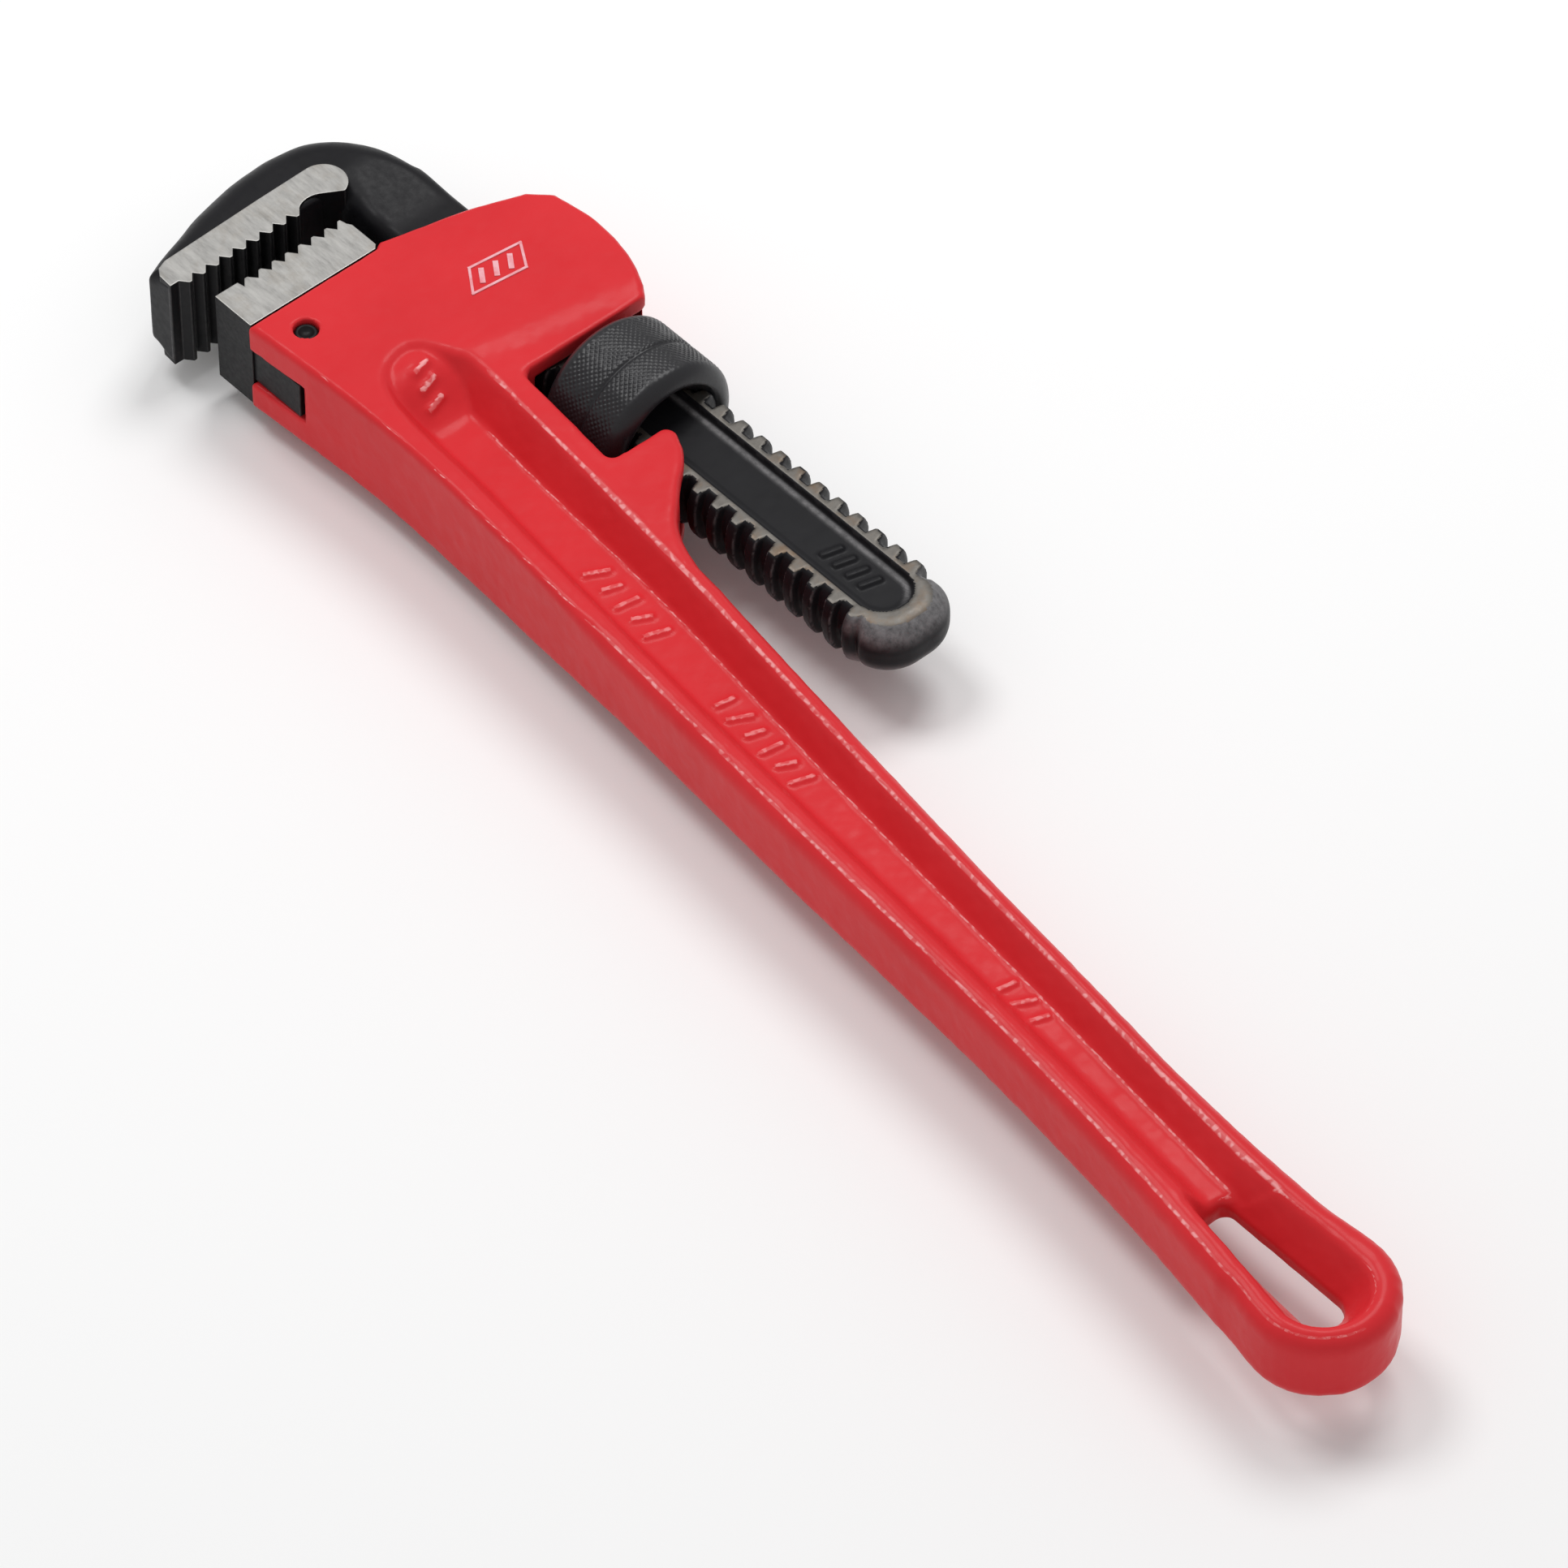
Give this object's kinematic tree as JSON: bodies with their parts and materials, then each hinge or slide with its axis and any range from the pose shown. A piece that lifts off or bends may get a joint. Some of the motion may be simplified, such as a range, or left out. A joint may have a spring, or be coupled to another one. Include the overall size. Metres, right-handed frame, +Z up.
{
  "type": "pipe wrench",
  "caption": "Straight pipe wrench: cast I-beam handle with a fixed heel jaw, and a sliding, rocking hook jaw set by a threaded nut.",
  "frame": {"origin": "middle of the bounding box at its lowest level, with the wrench lying on its side", "axes": "+X from the jaws to the hang slot along the shank, +Y from the heel side to the front of the housing, +Z up out of the side face"},
  "size_m": [0.2972, 0.0769, 0.027],
  "materials": {
    "red_casting": "glossy red paint over a slightly rough casting",
    "black_forging": "satin black oxide, bare on the worn edges",
    "ground_steel": "ground across its flat faces, blackened on its sides",
    "spring_steel": "oiled spring steel"
  },
  "bodies": {
    "frame": {"handle": "red_casting", "heel_jaw": "ground_steel", "heel_jaw_pin": "black_forging", "spring_rivet": "spring_steel"},
    "rocker": {"flat_spring": "spring_steel", "coil_spring": "spring_steel"},
    "hook": {"hook_jaw": "black_forging"},
    "nut": {"adjusting_nut": "black_forging"}
  },
  "joints": [
    {"name": "jaw_rock", "type": "hinge", "parent": "frame", "child": "rocker", "pos_m": [-0.0698, 0.0206, 0.0135], "axis": [0, 0, 1], "range_deg": [-2.5, 1], "stiffness_Nm_per_rad": 2, "deforming": ["flat_spring", "coil_spring"]},
    {"name": "jaw_slide", "type": "slide", "parent": "rocker", "child": "hook", "axis": [-1, 0, 0], "range_m": [-0.0042, 0.054]},
    {"name": "nut_spin", "type": "hinge", "parent": "rocker", "child": "nut", "pos_m": [-0.0698, 0.0206, 0.0135], "axis": [1, 0, 0], "range_deg": [-340, 4290]}
  ],
  "couplings": [
    {"joint": "nut_spin", "follows": "jaw_slide", "rad_per_m": 1380.9}
  ]
}
